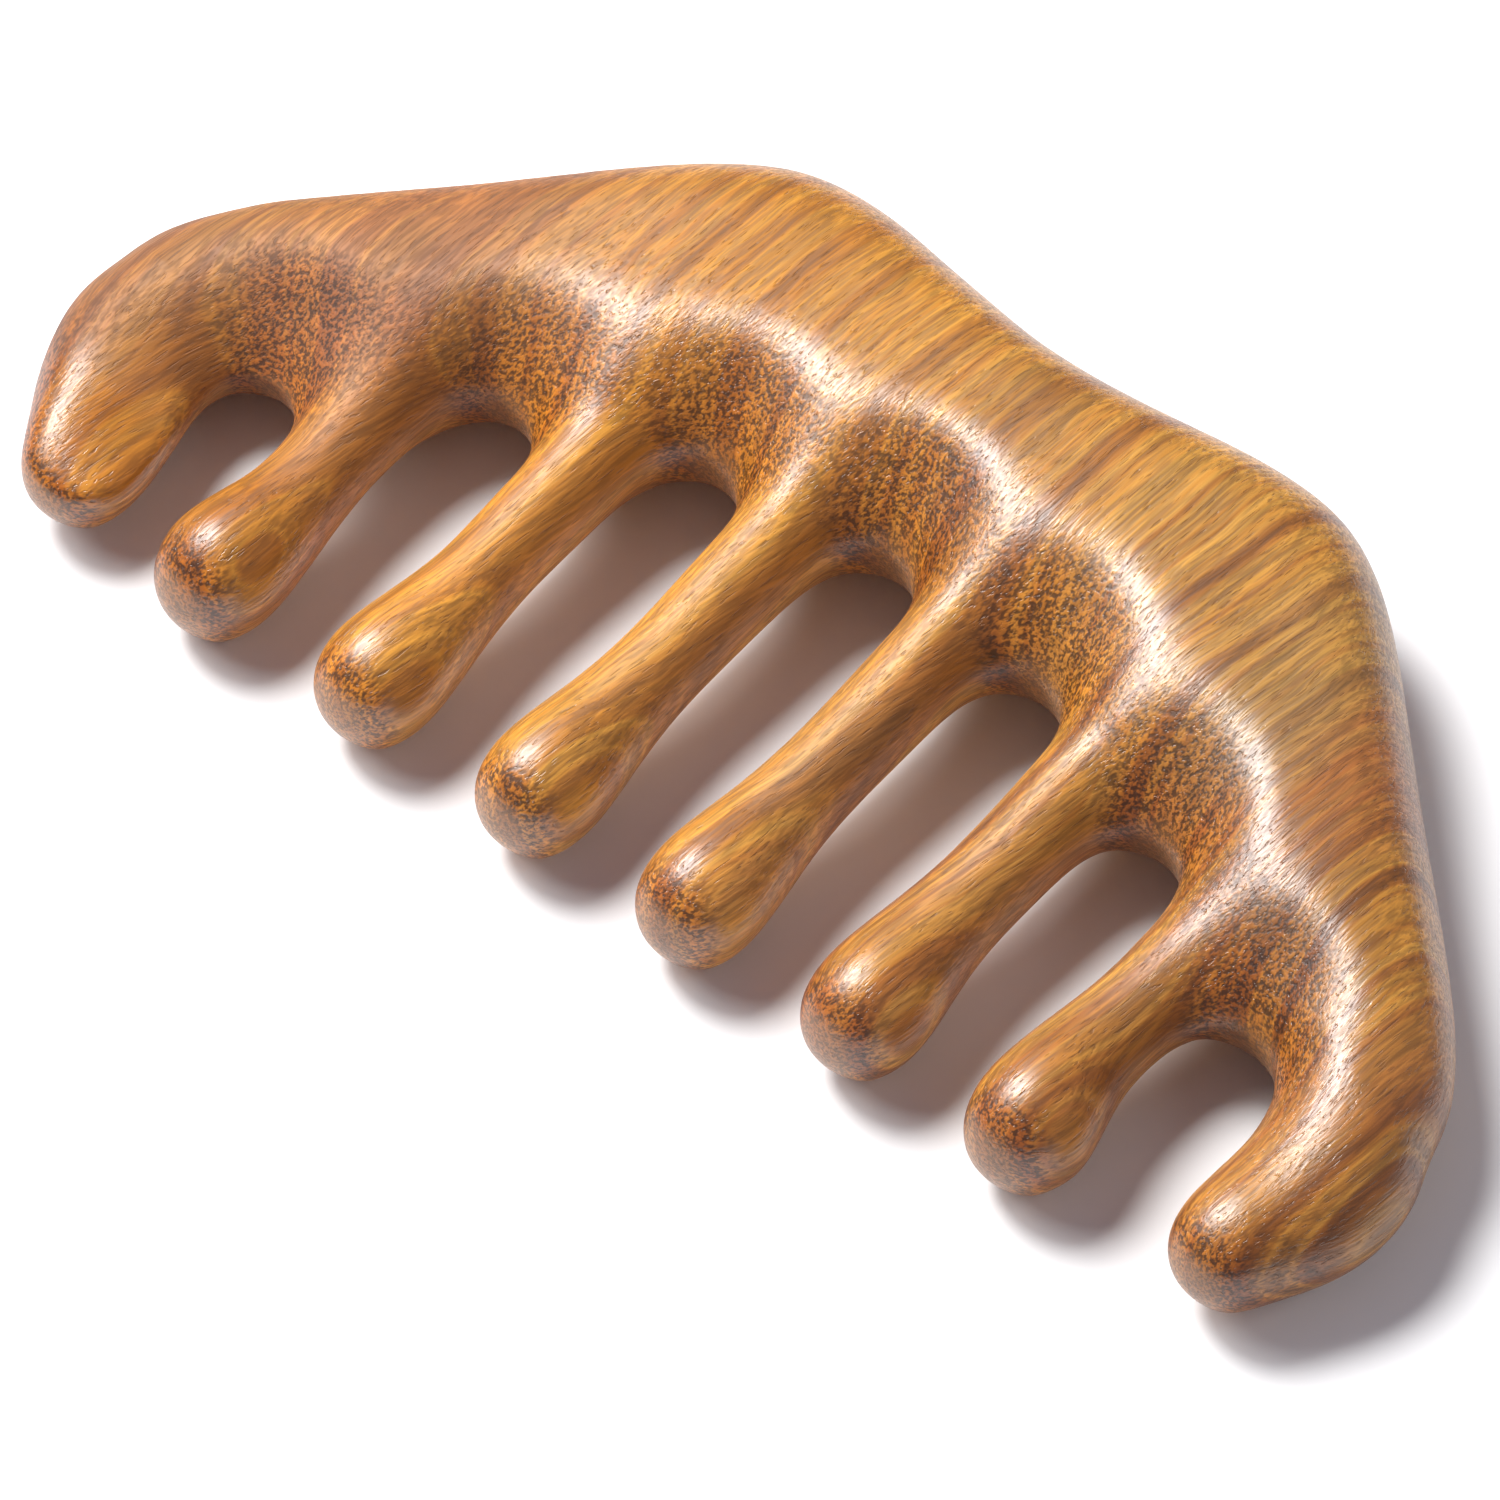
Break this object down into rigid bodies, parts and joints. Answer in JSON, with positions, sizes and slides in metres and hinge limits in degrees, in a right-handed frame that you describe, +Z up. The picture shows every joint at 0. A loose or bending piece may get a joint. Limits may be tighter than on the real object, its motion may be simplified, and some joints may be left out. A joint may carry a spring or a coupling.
{
  "type": "wide tooth comb",
  "caption": "Wide tooth massage comb carved in solid hardwood, with a thick rounded back, round teeth with ball tips and a heavier guard tooth at each end.",
  "frame": {"origin": "middle of the comb's bounding box in plan, on the plane that its back face rests on", "axes": "+X along the row of teeth, -Y the way the teeth point, +Z up from the resting face"},
  "size_m": [0.1478, 0.0688, 0.0192],
  "materials": {
    "polished_wood": "polished"
  },
  "bodies": {
    "root": {"comb_body": "polished_wood"}
  },
  "joints": []
}
